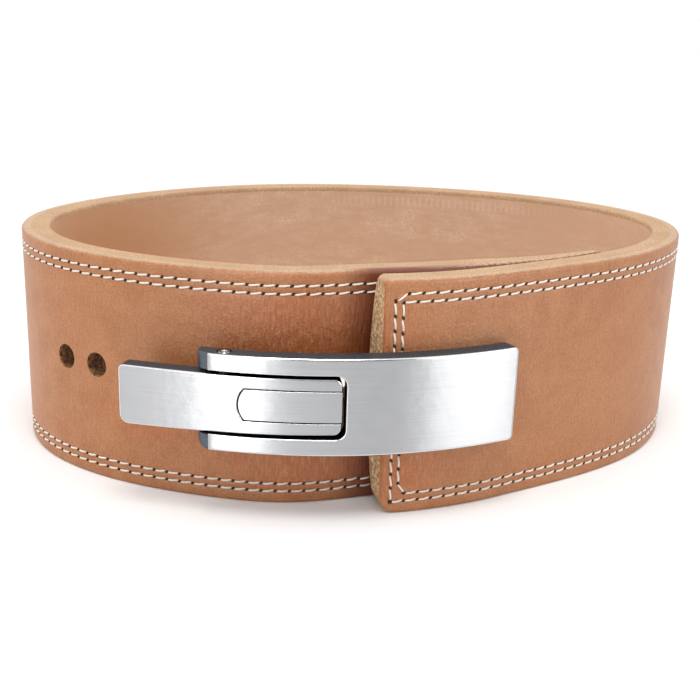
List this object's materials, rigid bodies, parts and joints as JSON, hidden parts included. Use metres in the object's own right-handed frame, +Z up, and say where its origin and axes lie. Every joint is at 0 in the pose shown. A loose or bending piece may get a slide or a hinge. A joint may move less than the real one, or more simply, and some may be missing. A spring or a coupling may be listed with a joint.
{
  "type": "weightlifting belt",
  "caption": "Thick tan leather weightlifting belt, closed by a bent steel lever buckle and standing on its lower edge.",
  "frame": {"origin": "on the resting surface, under the middle of the belt's box", "axes": "+X across the loop, to the right of someone who faces the buckle; +Y from the buckle to the back; +Z up, along the belt's width"},
  "size_m": [0.3188, 0.249, 0.1],
  "materials": {
    "leather": "smooth vegetable-tanned grain, raw light edges",
    "brushed_steel": "satin brushed along its length",
    "pin_steel": "turned, slightly darker",
    "thread": "white waxed thread"
  },
  "bodies": {
    "root": {"strap": "leather", "base_plate": "brushed_steel", "lever": "brushed_steel", "hook_bar": "brushed_steel", "fork_pin": "pin_steel", "hook_pin": "pin_steel", "screw_1": "pin_steel", "screw_2": "pin_steel"}
  },
  "joints": []
}
